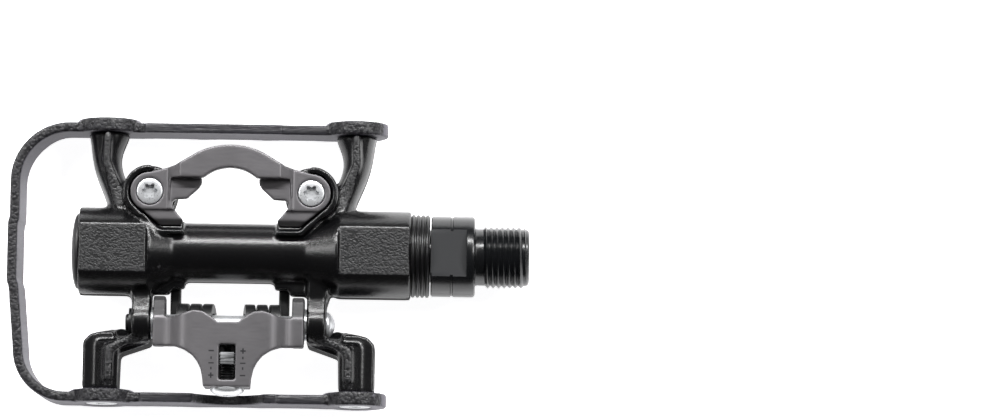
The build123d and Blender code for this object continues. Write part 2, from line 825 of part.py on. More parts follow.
# Spring ring that keeps the bearing in the body, with a gap and two plier eyes.
with BuildPart() as bearing_clip:
    with BuildSketch(Plane.YZ.offset(-87.15)):
        Circle(7.55)
        Circle(6.35, mode=Mode.SUBTRACT)
        with Locations((5.9, 1.6), (5.9, -1.6)):
            Circle(0.9)
            Circle(0.4, mode=Mode.SUBTRACT)
        with Locations((7.0, 0)):
            Rectangle(4.0, 1.2, mode=Mode.SUBTRACT)
    extrude(amount=0.8)
save(bearing_clip.part, "bearing_clip")

with BuildPart() as lock_washer:
    ring(nut_thread_r + 0.02, 4.9, -86.9, race_start_x)
save(lock_washer.part, "lock_washer")

with BuildPart() as spindle_locknut:
    with BuildSketch(Plane.YZ.offset(-90.1)):
        RegularPolygon(radius=4.6, side_count=6, major_radius=False)
        Circle(nut_thread_r, mode=Mode.SUBTRACT)
    extrude(amount=3.2)
save(spindle_locknut.part, "spindle_locknut")

# Domed dust cap with a short plug and a seal ring round it.
with BuildPart() as end_cap:
    middle_depth, middle_r = dome_middle(8.6, 1.4)
    with BuildSketch(Plane.XY):
        with BuildLine():
            Polyline(
                (-94.5, 0),
                (-90.8, 0),
                (-90.8, 7.5),
                (-91.2, 7.5),
                (-91.2, 6.9),
                (-92.1, 6.9),
                (-92.1, 7.5),
                (hub_out_x, 7.5),
                (hub_out_x, 8.6),
                (hub_out_x - 0.4, 8.6),
            )
            ThreePointArc((hub_out_x - 0.4, 8.6), (-94.5 + middle_depth, middle_r), (-94.5, 0))
        make_face()
    revolve(axis=Axis.X)
save(end_cap.part, "end_cap")

with BuildPart() as cap_o_ring:
    with BuildSketch(Plane.XY):
        with Locations((-91.65, 7.24)):
            Circle(0.34)
    revolve(axis=Axis.X)
save(cap_o_ring.part, "cap_o_ring")
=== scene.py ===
import json
import math
import bpy
import bmesh
import numpy as np
from mathutils import Vector, Matrix


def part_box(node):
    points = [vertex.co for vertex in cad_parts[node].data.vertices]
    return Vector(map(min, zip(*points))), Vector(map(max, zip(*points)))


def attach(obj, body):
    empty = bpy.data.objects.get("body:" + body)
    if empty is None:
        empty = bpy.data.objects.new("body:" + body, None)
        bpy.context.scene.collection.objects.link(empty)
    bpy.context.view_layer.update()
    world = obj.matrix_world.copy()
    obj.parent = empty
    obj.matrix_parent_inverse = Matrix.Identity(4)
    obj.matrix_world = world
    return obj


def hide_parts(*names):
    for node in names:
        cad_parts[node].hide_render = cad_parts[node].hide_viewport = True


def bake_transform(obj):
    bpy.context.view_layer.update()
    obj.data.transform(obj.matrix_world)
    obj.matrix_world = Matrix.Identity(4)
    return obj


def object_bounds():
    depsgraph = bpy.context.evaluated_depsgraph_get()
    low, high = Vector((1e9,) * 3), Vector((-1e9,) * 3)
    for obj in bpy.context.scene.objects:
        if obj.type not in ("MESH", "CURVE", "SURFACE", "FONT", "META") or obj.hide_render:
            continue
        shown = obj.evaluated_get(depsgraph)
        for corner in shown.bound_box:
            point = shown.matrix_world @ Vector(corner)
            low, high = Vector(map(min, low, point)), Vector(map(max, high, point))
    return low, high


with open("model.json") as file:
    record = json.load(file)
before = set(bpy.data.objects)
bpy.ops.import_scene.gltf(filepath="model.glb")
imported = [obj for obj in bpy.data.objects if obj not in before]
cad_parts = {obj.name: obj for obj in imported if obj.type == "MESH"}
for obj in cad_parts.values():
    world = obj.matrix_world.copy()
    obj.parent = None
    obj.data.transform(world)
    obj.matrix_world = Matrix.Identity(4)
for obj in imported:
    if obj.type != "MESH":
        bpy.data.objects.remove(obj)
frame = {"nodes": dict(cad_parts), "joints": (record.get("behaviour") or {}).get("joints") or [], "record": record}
cadLow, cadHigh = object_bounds()
scene = bpy.context.scene
mm = 0.001
joints = {joint["name"]: joint for joint in frame["joints"]}
mounts = {mount["name"]: mount for mount in frame["record"]["mounts"]}
pivot = Vector(joints["hook_swing"]["pos_m"])  # hinge of the heel hook; its x is the mechanism's middle
tension = Vector(joints["tension_turn"]["pos_m"])  # axis of the tension screw
threadR = mounts["crank_thread"]["dims"]["r_mm"] * mm


# Shader helpers: a node with its settings, values and links in one call, and an empty group
def shaderNode(tree, kind, links=None, values=None, **settings):
    node = tree.nodes.new(kind)
    for name, value in settings.items():
        setattr(node, name, value)
    for name, value in (values or {}).items():
        node.inputs[name].default_value = value
    for name, socket in (links or {}).items():
        tree.links.new(socket, node.inputs[name])
    return node


def shaderGroup(name, inputs, outputs):
    group = bpy.data.node_groups.new(name, "ShaderNodeTree")
    for label, kind, value in inputs:
        socket = group.interface.new_socket(label, in_out="INPUT", socket_type=kind)
        if value is not None:
            socket.default_value = value
    for label, kind in outputs:
        group.interface.new_socket(label, in_out="OUTPUT", socket_type=kind)
    return group, group.nodes.new("NodeGroupInput"), group.nodes.new("NodeGroupOutput")


def makeGrainGroup():
    # Orange peel of a sprayed coat: two noises, a coarse one for the flow and a fine one for the skin
    group, source, result = shaderGroup(
        "orangePeel",
        [("Vector", "NodeSocketVector", None), ("Cell", "NodeSocketFloat", 2600.0),
         ("Fine", "NodeSocketFloat", 0.35)],
        [("Height", "NodeSocketFloat")],
    )
    place, cell = source.outputs["Vector"], source.outputs["Cell"]
    coarse = shaderNode(group, "ShaderNodeTexNoise", {"Vector": place, "Scale": cell},
                        {"Detail": 2.0, "Roughness": 0.4})
    finer = shaderNode(group, "ShaderNodeMath", {0: cell}, {1: 3.1}, operation="MULTIPLY")
    fine = shaderNode(group, "ShaderNodeTexNoise", {"Vector": place, "Scale": finer.outputs[0]},
                      {"Detail": 1.0})
    weighted = shaderNode(group, "ShaderNodeMath", {0: fine.outputs[0], 1: source.outputs["Fine"]},
                          operation="MULTIPLY")
    both = shaderNode(group, "ShaderNodeMath", {0: coarse.outputs[0], 1: weighted.outputs[0]},
                      operation="ADD")
    group.links.new(both.outputs[0], result.inputs["Height"])
    return group


def makeLeatherGroup():
    # Pebbled cast skin: voronoi cells pulled along the spindle and bent by a noise
    group, source, result = shaderGroup(
        "castLeather",
        [("Vector", "NodeSocketVector", None), ("Cell", "NodeSocketFloat", 1500.0),
         ("Stretch", "NodeSocketFloat", 0.55)],
        [("Height", "NodeSocketFloat")],
    )
    place, cell = source.outputs["Vector"], source.outputs["Cell"]
    squeeze = shaderNode(group, "ShaderNodeCombineXYZ", {"X": source.outputs["Stretch"]},
                         {"Y": 1.0, "Z": 1.0})
    pulled = shaderNode(group, "ShaderNodeVectorMath", {0: place, 1: squeeze.outputs[0]},
                        operation="MULTIPLY")
    warp = shaderNode(group, "ShaderNodeTexNoise", {"Vector": place, "Scale": cell}, {"Detail": 2.0})
    small = shaderNode(group, "ShaderNodeVectorMath", {0: warp.outputs["Color"]}, {"Scale": 0.0005},
                       operation="SCALE")
    bent = shaderNode(group, "ShaderNodeVectorMath", {0: pulled.outputs[0], 1: small.outputs[0]},
                      operation="ADD")
    cells = shaderNode(group, "ShaderNodeTexVoronoi", {"Vector": bent.outputs[0], "Scale": cell},
                       feature="SMOOTH_F1")
    tops = shaderNode(group, "ShaderNodeMapRange", {"Value": cells.outputs["Distance"]},
                      {"From Min": 0.25, "From Max": 0.6, "To Min": 1.0, "To Max": 0.0})
    group.links.new(tops.outputs[0], result.inputs["Height"])
    return group


def makeWearGroup():
    # Rubbed edges: the mesh's convex edges, broken up by a noise
    group, source, result = shaderGroup(
        "edgeWear",
        [("Vector", "NodeSocketVector", None), ("Start", "NodeSocketFloat", 0.53),
         ("Full", "NodeSocketFloat", 0.6), ("Breakup", "NodeSocketFloat", 900.0)],
        [("Mask", "NodeSocketFloat")],
    )
    shape = shaderNode(group, "ShaderNodeNewGeometry")
    convex = shaderNode(group, "ShaderNodeMapRange",
                        {"Value": shape.outputs["Pointiness"], "From Min": source.outputs["Start"],
                         "From Max": source.outputs["Full"]})
    patch = shaderNode(group, "ShaderNodeTexNoise",
                       {"Vector": source.outputs["Vector"], "Scale": source.outputs["Breakup"]},
                       {"Detail": 4.0})
    sharp = shaderNode(group, "ShaderNodeMapRange", {"Value": patch.outputs[0]},
                       {"From Min": 0.4, "From Max": 0.62})
    mask = shaderNode(group, "ShaderNodeMath", {0: convex.outputs[0], 1: sharp.outputs[0]},
                      operation="MULTIPLY")
    group.links.new(mask.outputs[0], result.inputs["Mask"])
    return group


def makeBrushGroup():
    # Drawn or turned lines: a noise squeezed hard across one direction
    group, source, result = shaderGroup(
        "drawnLines",
        [("Vector", "NodeSocketVector", None), ("Squeeze", "NodeSocketVector", (60.0, 2500.0, 2500.0))],
        [("Lines", "NodeSocketFloat")],
    )
    squeezed = shaderNode(group, "ShaderNodeVectorMath",
                          {0: source.outputs["Vector"], 1: source.outputs["Squeeze"]},
                          operation="MULTIPLY")
    lines = shaderNode(group, "ShaderNodeTexNoise", {"Vector": squeezed.outputs[0]},
                       {"Scale": 1.0, "Detail": 3.0})
    crisp = shaderNode(group, "ShaderNodeMapRange", {"Value": lines.outputs[0]},
                       {"From Min": 0.32, "From Max": 0.68})
    group.links.new(crisp.outputs[0], result.inputs["Lines"])
    return group


stampLook = {"away": 3.6, "long": 0.62, "thin": 0.16, "dash": 0.14, "dot": 0.3, "soft": 0.08,
             "nearSign": -23.3, "nearDot": -24.9, "dashY": -26.1, "farDot": -27.3, "farSign": -28.9}


def makeStampBoxes():
    # Each mark is (x, y, half width, half depth); the plus is at the far end on one side, near on the other
    look = stampLook
    boxes = []
    for side in (-1, 1):
        x = pivot.x / mm + side * look["away"]
        nearUpright = look["long"] if side > 0 else look["thin"]
        farUpright = look["long"] if side < 0 else look["thin"]
        boxes += [(x, look["nearSign"], look["long"], look["thin"]),
                  (x, look["nearSign"], look["thin"], nearUpright),
                  (x, look["nearDot"], look["thin"], look["dot"]),
                  (x, look["dashY"], look["long"], look["dash"]),
                  (x, look["farDot"], look["thin"], look["dot"]),
                  (x, look["farSign"], look["long"], look["thin"]),
                  (x, look["farSign"], look["thin"], farUpright)]
    return boxes


def makeStampGroup():
    # Struck marks beside the tension window: plus, minus and plain ticks, as boxes in the plate's plane
    group, source, result = shaderGroup(
        "struckMarks", [("Vector", "NodeSocketVector", None)], [("Mask", "NodeSocketFloat")])
    parts = shaderNode(group, "ShaderNodeSeparateXYZ", {0: source.outputs["Vector"]})
    total = None
    for x, y, halfX, halfY in makeStampBoxes():
        sides = []
        for axis, middle, half in (("X", x, halfX), ("Y", y, halfY)):
            away = shaderNode(group, "ShaderNodeMath", {0: parts.outputs[axis]}, {1: middle * mm},
                              operation="SUBTRACT")
            size = shaderNode(group, "ShaderNodeMath", {0: away.outputs[0]}, operation="ABSOLUTE")
            sides.append(shaderNode(group, "ShaderNodeMapRange", {"Value": size.outputs[0]}, {
                "From Min": (half - stampLook["soft"]) * mm, "From Max": (half + stampLook["soft"]) * mm,
                "To Min": 1.0, "To Max": 0.0}))
        both = shaderNode(group, "ShaderNodeMath", {0: sides[0].outputs[0], 1: sides[1].outputs[0]},
                          operation="MULTIPLY")
        if total:
            both = shaderNode(group, "ShaderNodeMath", {0: both.outputs[0], 1: total.outputs[0]},
                              operation="MAXIMUM")
        total = both
    group.links.new(total.outputs[0], result.inputs["Mask"])
    return group


struckMarks = makeStampGroup()
orangePeel = makeGrainGroup()
castLeather = makeLeatherGroup()
edgeWear = makeWearGroup()
drawnLines = makeBrushGroup()


def coatedMaterial(name, look):
    # One recipe for every surface: colour with drift and wear, roughness and bump from one height group
    material = bpy.data.materials.new(name)
    material.use_nodes = True
    tree = material.node_tree
    shader = tree.nodes["Principled BSDF"]
    place = shaderNode(tree, "ShaderNodeTexCoord")
    vector = place.outputs["Object"]
    pattern = shaderNode(tree, "ShaderNodeGroup", node_tree=look["pattern"])
    tree.links.new(vector, pattern.inputs["Vector"])
    for label, value in look.get("patternValues", {}).items():
        pattern.inputs[label].default_value = value
    height = pattern.outputs[0]
    drift = shaderNode(tree, "ShaderNodeTexNoise", {"Vector": vector},
                       {"Scale": look.get("driftScale", 150.0), "Detail": 4.0})
    colour = shaderNode(tree, "ShaderNodeMix", {"Factor": drift.outputs[0]}, data_type="RGBA")
    colour.inputs["A"].default_value = (*look["dark"], 1)
    colour.inputs["B"].default_value = (*look["light"], 1)
    colourOut = colour.outputs["Result"]
    if "crease" in look:
        creased = shaderNode(tree, "ShaderNodeMix", {"Factor": height, "B": colourOut}, data_type="RGBA")
        creased.inputs["A"].default_value = (*look["crease"], 1)
        colourOut = creased.outputs["Result"]
    if "wear" in look:
        wear = shaderNode(tree, "ShaderNodeGroup", {}, node_tree=edgeWear)
        tree.links.new(vector, wear.inputs["Vector"])
        for label, value in look.get("wearValues", {}).items():
            wear.inputs[label].default_value = value
        worn = shaderNode(tree, "ShaderNodeMix", {"Factor": wear.outputs[0], "A": colourOut},
                          data_type="RGBA")
        worn.inputs["B"].default_value = (*look["wear"], 1)
        colourOut = worn.outputs["Result"]
    if "stamp" in look:
        stamp = shaderNode(tree, "ShaderNodeGroup", {}, node_tree=look["stamp"])
        tree.links.new(vector, stamp.inputs["Vector"])
        struck = shaderNode(tree, "ShaderNodeMix", {"Factor": stamp.outputs[0], "A": colourOut},
                            data_type="RGBA")
        struck.inputs["B"].default_value = (0.02, 0.02, 0.022, 1)
        colourOut = struck.outputs["Result"]
    rough = shaderNode(tree, "ShaderNodeMapRange", {"Value": height},
                       {"From Min": 0.2, "From Max": 0.8, "To Min": look["rough"][0],
                        "To Max": look["rough"][1]})
    bump = shaderNode(tree, "ShaderNodeBump", {"Height": height},
                      {"Strength": look.get("bump", 0.3), "Distance": look.get("depth", 0.05) * mm})
    tree.links.new(colourOut, shader.inputs["Base Color"])
    tree.links.new(rough.outputs[0], shader.inputs["Roughness"])
    tree.links.new(bump.outputs[0], shader.inputs["Normal"])
    shader.inputs["Metallic"].default_value = look.get("metal", 0.0)
    shader.inputs["Specular IOR Level"].default_value = look.get("specular", 0.5)
    return material


gunmetalLook = {
    "pattern": drawnLines, "patternValues": {"Squeeze": (300.0, 4200.0, 4200.0)},
    "dark": (0.085, 0.082, 0.086), "light": (0.16, 0.154, 0.161), "driftScale": 70.0, "rough": (0.4, 0.46),
    "bump": 0.1, "depth": 0.006, "metal": 0.6}
materials = {
    "castBlack": coatedMaterial("castBlack", {
        "pattern": orangePeel, "patternValues": {"Cell": 1500.0, "Fine": 0.7},
        "dark": (0.0015, 0.0015, 0.0018), "light": (0.003, 0.003, 0.0034), "rough": (0.17, 0.27),
        "bump": 0.5, "depth": 0.05, "specular": 0.5, "wear": (0.03, 0.03, 0.032)}),
    "castGrain": coatedMaterial("castGrain", {
        "pattern": castLeather, "patternValues": {"Cell": 2500.0, "Stretch": 0.8},
        "dark": (0.008, 0.008, 0.0088), "light": (0.012, 0.012, 0.0132), "crease": (0.004, 0.004, 0.0045),
        "rough": (0.4, 0.52), "bump": 0.8, "depth": 0.08}),
    # Walls and undersides: castBlack's own colour with little specular, painted shade that keeps them from
    # reflecting the glowing floor
    "castWallShaded": coatedMaterial("castWallShaded", {
        "pattern": orangePeel, "patternValues": {"Cell": 1500.0, "Fine": 0.7},
        "dark": (0.0015, 0.0015, 0.0018), "light": (0.003, 0.003, 0.0034), "rough": (0.5, 0.65),
        "bump": 0.4, "depth": 0.05, "specular": 0.12}),
    # Rib tops: the pebbled grain is the cast skin; their tone, lighter than the rest of the body, is a painted
    # highlight
    "ribGrainHighlight": coatedMaterial("ribGrainHighlight", {
        "pattern": castLeather, "patternValues": {"Cell": 2200.0, "Stretch": 1.0},
        "dark": (0.008, 0.008, 0.009), "light": (0.028, 0.028, 0.03), "crease": (0.003, 0.003, 0.0034),
        "rough": (0.34, 0.46), "bump": 0.8, "depth": 0.09, "driftScale": 1800.0}),
    # Side faces and undersides: the violet tint is the anodised coat; the grey base, far lighter than the tread,
    # is a painted reflection of the bright floor
    "cageSideSheen": coatedMaterial("cageSideSheen", {
        "pattern": orangePeel, "patternValues": {"Cell": 3200.0}, "dark": (0.068, 0.064, 0.08),
        "light": (0.092, 0.087, 0.106), "rough": (0.42, 0.55), "bump": 0.25, "depth": 0.03, "metal": 0.3,
        "wear": (0.16, 0.155, 0.17)}),
    "cageTread": coatedMaterial("cageTread", {
        "pattern": castLeather, "patternValues": {"Cell": 1700.0, "Stretch": 1.0},
        "dark": (0.007, 0.0067, 0.0085), "light": (0.019, 0.018, 0.0225), "crease": (0.004, 0.0038, 0.005),
        "rough": (0.4, 0.54), "bump": 0.7, "depth": 0.1, "driftScale": 1300.0, "wear": (0.09, 0.086, 0.1),
        "wearValues": {"Start": 0.53, "Full": 0.58}}),
    "cageGroove": coatedMaterial("cageGroove", {
        "pattern": drawnLines, "patternValues": {"Squeeze": (110.0, 1500.0, 300.0)},
        "dark": (0.006, 0.0057, 0.0075), "light": (0.014, 0.0133, 0.0165), "crease": (0.022, 0.021, 0.026),
        "rough": (0.38, 0.5), "bump": 0.6, "depth": 0.1, "driftScale": 1300.0, "wear": (0.09, 0.086, 0.1),
        "wearValues": {"Start": 0.53, "Full": 0.58}}),
    "gunmetal": coatedMaterial("gunmetal", gunmetalLook),
    "gunmetalStruck": coatedMaterial("gunmetalStruck", {**gunmetalLook, "stamp": struckMarks}),
    "zinc": coatedMaterial("zinc", {
        "pattern": orangePeel, "patternValues": {"Cell": 2600.0}, "dark": (0.5, 0.51, 0.53),
        "light": (0.68, 0.69, 0.7), "rough": (0.2, 0.34), "bump": 0.1, "depth": 0.02, "metal": 0.65}),
    "nutSteel": coatedMaterial("nutSteel", {
        "pattern": drawnLines, "patternValues": {"Squeeze": (150.0, 1500.0, 150.0)},
        "dark": (0.45, 0.46, 0.48), "light": (0.68, 0.69, 0.7), "crease": (0.06, 0.06, 0.062),
        "rough": (0.2, 0.34), "bump": 0.6, "depth": 0.06, "metal": 0.65}),
    # Darker, duller copy of the gunmetal for the cheeks' low faces and their front faces near the pivot: painted
    # shade
    "cheekShade": coatedMaterial("cheekShade", {
        **gunmetalLook, "dark": (0.03, 0.029, 0.031), "light": (0.05, 0.048, 0.05), "rough": (0.5, 0.6),
        "metal": 0.2}),
    "springBlack": coatedMaterial("springBlack", {
        "pattern": orangePeel, "patternValues": {"Cell": 3000.0}, "dark": (0.004, 0.004, 0.004),
        "light": (0.01, 0.01, 0.011), "rough": (0.3, 0.42), "bump": 0.2, "depth": 0.02, "metal": 0.1}),
    "oxideBlack": coatedMaterial("oxideBlack", {
        "pattern": orangePeel, "patternValues": {"Cell": 5200.0}, "dark": (0.003, 0.0034, 0.004),
        "light": (0.007, 0.0075, 0.0085), "rough": (0.18, 0.26), "bump": 0.08, "depth": 0.01,
        "metal": 0.1}),
    "wrenchFlat": coatedMaterial("wrenchFlat", {
        "pattern": orangePeel, "patternValues": {"Cell": 4200.0}, "dark": (0.010, 0.0107, 0.0123),
        "light": (0.014, 0.0147, 0.0165), "rough": (0.46, 0.56), "bump": 0.3, "depth": 0.03, "metal": 0.1}),
    "bootRubber": coatedMaterial("bootRubber", {
        "pattern": orangePeel, "patternValues": {"Cell": 2500.0}, "dark": (0.002, 0.002, 0.0023),
        "light": (0.004, 0.004, 0.0044), "rough": (0.26, 0.36), "bump": 0.2, "depth": 0.02,
        "specular": 0.35}),
    "capBlack": coatedMaterial("capBlack", {
        "pattern": orangePeel, "patternValues": {"Cell": 1800.0}, "dark": (0.008, 0.008, 0.009),
        "light": (0.012, 0.012, 0.013), "rough": (0.4, 0.52), "bump": 0.3, "depth": 0.03}),
    "bearingSteel": coatedMaterial("bearingSteel", {
        "pattern": drawnLines, "patternValues": {"Squeeze": (4000.0, 200.0, 200.0)},
        "dark": (0.6, 0.6, 0.61), "light": (0.68, 0.68, 0.69), "rough": (0.12, 0.2), "bump": 0.05,
        "depth": 0.01, "metal": 1.0}),
    "bronze": coatedMaterial("bronze", {
        "pattern": orangePeel, "patternValues": {"Cell": 5200.0}, "dark": (0.36, 0.2, 0.09),
        "light": (0.48, 0.29, 0.14), "rough": (0.36, 0.5), "bump": 0.2, "depth": 0.02, "metal": 0.9}),
}
print("materials made:", len(materials))


# Mesh helpers
def finish(name, mesh, body, replaced=(), smoothAngle=35.0):
    piece = bpy.data.objects.new(name, mesh)
    scene.collection.objects.link(piece)
    for polygon in mesh.polygons:
        polygon.use_smooth = True
    if smoothAngle:
        mesh.set_sharp_from_angle(angle=math.radians(smoothAngle))
    if body:
        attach(piece, body)
    if replaced:
        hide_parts(*replaced)
    return piece


def fromPydata(name, verts, faces):
    mesh = bpy.data.meshes.new(name)
    mesh.from_pydata([tuple(v) for v in verts], [], faces)
    mesh.validate()
    work = bmesh.new()
    work.from_mesh(mesh)
    bmesh.ops.remove_doubles(work, verts=work.verts, dist=1e-7)
    bmesh.ops.recalc_face_normals(work, faces=work.faces)
    work.to_mesh(mesh)
    work.free()
    return mesh


def meshArrays(mesh):
    points = np.empty(len(mesh.vertices) * 3)
    mesh.vertices.foreach_get("co", points)
    edges = np.empty(len(mesh.edges) * 2, dtype=np.int64)
    mesh.edges.foreach_get("vertices", edges)
    return points.reshape(-1, 3), edges.reshape(-1, 2)


def relax(mesh, rounds, weight=None, factor=0.5):
    # Rounds corners as a casting or a tumbled stamping is rounded; weight gives each point's share
    points, edges = meshArrays(mesh)
    count = np.zeros(len(points))
    np.add.at(count, edges[:, 0], 1)
    np.add.at(count, edges[:, 1], 1)
    share = factor * (np.ones(len(points)) if weight is None else weight(points))
    for _ in range(rounds):
        total = np.zeros_like(points)
        for axis in range(3):
            total[:, axis] = np.bincount(edges[:, 0], points[edges[:, 1], axis], len(points))
            total[:, axis] += np.bincount(edges[:, 1], points[edges[:, 0], axis], len(points))
        points += share[:, None] * (total / count[:, None] - points)
    mesh.vertices.foreach_set("co", points.ravel())
    mesh.update()


def remeshed(nodeName, voxel, rounds, weight=None):
    # The node's own solid, rebuilt as one even skin, so that its corners can be rounded
    copy = frame["nodes"][nodeName].data.copy()
    work = bmesh.new()
    work.from_mesh(copy)
    bmesh.ops.remove_doubles(work, verts=work.verts, dist=1e-6)
    work.to_mesh(copy)
    work.free()
    holder = bpy.data.objects.new(nodeName + "Skin", copy)
    scene.collection.objects.link(holder)
    skin = holder.modifiers.new("skin", "REMESH")
    skin.mode = "VOXEL"
    skin.voxel_size = voxel * mm
    bpy.context.view_layer.update()
    mesh = bpy.data.meshes.new_from_object(holder.evaluated_get(bpy.context.evaluated_depsgraph_get()))
    bpy.data.objects.remove(holder)
    mesh.materials.clear()
    relax(mesh, rounds, weight)
    return mesh


def outline(shape, radius, turn):
    # Radius at one angle: round, a hexagon by its flats, six lobes, or round with two flats cut off
    if shape == "hex":
        return radius / math.cos((turn + math.pi / 6) % (math.pi / 3) - math.pi / 6)
    if shape == "lobes":
        return radius * (1 + 0.17 * math.cos(6 * turn))
    if shape:
        return min(radius, shape / max(abs(math.sin(turn)), 1e-6))
    return radius


def turned(name, stations, centre, axis, steps=96):
    # Stations are (place along the axis, radius, shape if not round) in mm; a radius of 0 closes an end
    axis = Vector(axis).normalized()
    up = Vector((0, 0, 1)) if abs(axis.z) < 0.9 else Vector((0, 1, 0))
    across = up.cross(axis).normalized()
    verts, faces = [], []
    for along, radius, *shape in stations:
        for step in range(steps):
            turn = 2 * math.pi * step / steps
            reach = outline(shape[0] if shape else None, radius, turn) * mm
            outward = across * reach * math.cos(turn) + up * reach * math.sin(turn)
            verts.append(Vector(centre) + axis * along * mm + outward)
    for row in range(len(stations) - 1):
        for step in range(steps):
            a, b = row * steps + step, row * steps + (step + 1) % steps
            faces.append((a, b, b + steps, a + steps))
    return fromPydata(name, verts, faces)


def slotsByFace(mesh, chosen, choose):
    # Puts each face in one of the materials by what choose says of its middle and normal
    for material in chosen:
        mesh.materials.append(material)
    for polygon in mesh.polygons:
        polygon.material_index = choose(polygon.center / mm, polygon.normal)


# Geometry Nodes helpers: a tree with named inputs, and a plain mesh from it
def growTree(name, inputs):
    tree = bpy.data.node_groups.new(name, "GeometryNodeTree")
    for label, kind, value in inputs:
        socket = tree.interface.new_socket(label, in_out="INPUT", socket_type=kind)
        if value is not None:
            socket.default_value = value
    tree.interface.new_socket("Geometry", in_out="OUTPUT", socket_type="NodeSocketGeometry")
    return tree, tree.nodes.new("NodeGroupInput"), tree.nodes.new("NodeGroupOutput")


def closeTree(tree, geometry, source, result):
    real = shaderNode(tree, "GeometryNodeRealizeInstances", {"Geometry": geometry})
    finished = shaderNode(tree, "GeometryNodeSetMaterial",
                          {"Geometry": real.outputs[0], "Material": source.outputs["Material"]})
    tree.links.new(finished.outputs[0], result.inputs["Geometry"])


def grown(tree, values):
    holder = bpy.data.objects.new(tree.name, bpy.data.meshes.new(tree.name))
    scene.collection.objects.link(holder)
    growth = holder.modifiers.new("growth", "NODES")
    growth.node_group = tree
    for item in tree.interface.items_tree:
        if item.item_type == "SOCKET" and item.in_out == "INPUT" and item.name in values:
            growth[item.identifier] = values[item.name]
    bpy.context.view_layer.update()
    mesh = bpy.data.meshes.new_from_object(holder.evaluated_get(bpy.context.evaluated_depsgraph_get()))
    bpy.data.objects.remove(holder)
    return mesh


def makeThreadTree():
    # A helical ridge along Z, whose last part shrinks into the chamfer
    tree, source, result = growTree("helicalRidge", [
        ("Turns", "NodeSocketFloat", 8.0), ("Length", "NodeSocketFloat", 0.01),
        ("Radius", "NodeSocketFloat", 0.007), ("Ridge", "NodeSocketFloat", 0.0006),
        ("Fade Start", "NodeSocketFloat", 0.009), ("Material", "NodeSocketMaterial", None)])
    spiral = shaderNode(tree, "GeometryNodeCurveSpiral", {
        "Rotations": source.outputs["Turns"], "Start Radius": source.outputs["Radius"],
        "End Radius": source.outputs["Radius"], "Height": source.outputs["Length"]},
        {"Resolution": 96, "Reverse": True})
    place = shaderNode(tree, "GeometryNodeInputPosition")
    parts = shaderNode(tree, "ShaderNodeSeparateXYZ", {0: place.outputs[0]})
    fade = shaderNode(tree, "ShaderNodeMapRange",
                      {"Value": parts.outputs["Z"], "From Min": source.outputs["Fade Start"],
                                                   "From Max": source.outputs["Length"]},
                                                   {"To Min": 0.0, "To Max": -0.09})
    flat = shaderNode(tree, "ShaderNodeCombineXYZ", {"X": parts.outputs["X"], "Y": parts.outputs["Y"]})
    inward = shaderNode(tree, "ShaderNodeVectorMath", {0: flat.outputs[0], "Scale": fade.outputs[0]},
                        operation="SCALE")
    faded = shaderNode(tree, "GeometryNodeSetPosition",
                       {"Geometry": spiral.outputs[0], "Offset": inward.outputs[0]})
    level = shaderNode(tree, "GeometryNodeSetCurveNormal", {"Curve": faded.outputs[0]})
    level.mode = "Z_UP"
    diamond = shaderNode(tree, "GeometryNodeCurvePrimitiveCircle", {"Radius": source.outputs["Ridge"]},
                         {"Resolution": 4})
    ridge = shaderNode(tree, "GeometryNodeCurveToMesh",
                       {"Curve": level.outputs[0], "Profile Curve": diamond.outputs[0]},
                       {"Fill Caps": True})
    closeTree(tree, ridge.outputs[0], source, result)
    return tree


def makeRingTree():
    # A row of equal rubber ribs along Z
    tree, source, result = growTree("ribRow", [
        ("Count", "NodeSocketInt", 4), ("Pitch", "NodeSocketFloat", 0.001),
        ("Radius", "NodeSocketFloat", 0.009),
        ("Rib", "NodeSocketFloat", 0.0005), ("Material", "NodeSocketMaterial", None)])
    ringLine = shaderNode(tree, "GeometryNodeCurvePrimitiveCircle", {"Radius": source.outputs["Radius"]},
                          {"Resolution": 96})
    ribLine = shaderNode(tree, "GeometryNodeCurvePrimitiveCircle", {"Radius": source.outputs["Rib"]},
                         {"Resolution": 16})
    rib = shaderNode(tree, "GeometryNodeCurveToMesh",
                     {"Curve": ringLine.outputs[0], "Profile Curve": ribLine.outputs[0]})
    step = shaderNode(tree, "ShaderNodeCombineXYZ", {"Z": source.outputs["Pitch"]})
    row = shaderNode(tree, "GeometryNodeMeshLine",
                     {"Count": source.outputs["Count"], "Offset": step.outputs[0]})
    ribs = shaderNode(tree, "GeometryNodeInstanceOnPoints",
                      {"Points": row.outputs[0], "Instance": rib.outputs[0]})
    closeTree(tree, ribs.outputs[0], source, result)
    return tree


helicalRidge = makeThreadTree()
ribRow = makeRingTree()
alongX = Matrix.Rotation(math.radians(90), 4, "Y")  # turns a mesh made along Z to lie along X
print("trees made")


# Cast body
bodyLook = {"voxel": 0.395, "rounds": 6, "crispRounds": 0.1, "flatZ": 8.2, "flatY": 5.35,
            "ribZ": (2.9, 4.6), "ribFrontY": 10.5, "ribRearY": -19.5, "hubLength": 16, "flatLength": 15.6,
            "hubEdge": 0.3, "collar": 8.7, "wallFrom": 8.0, "wallTo": 11.5, "partingZ": 2.0}


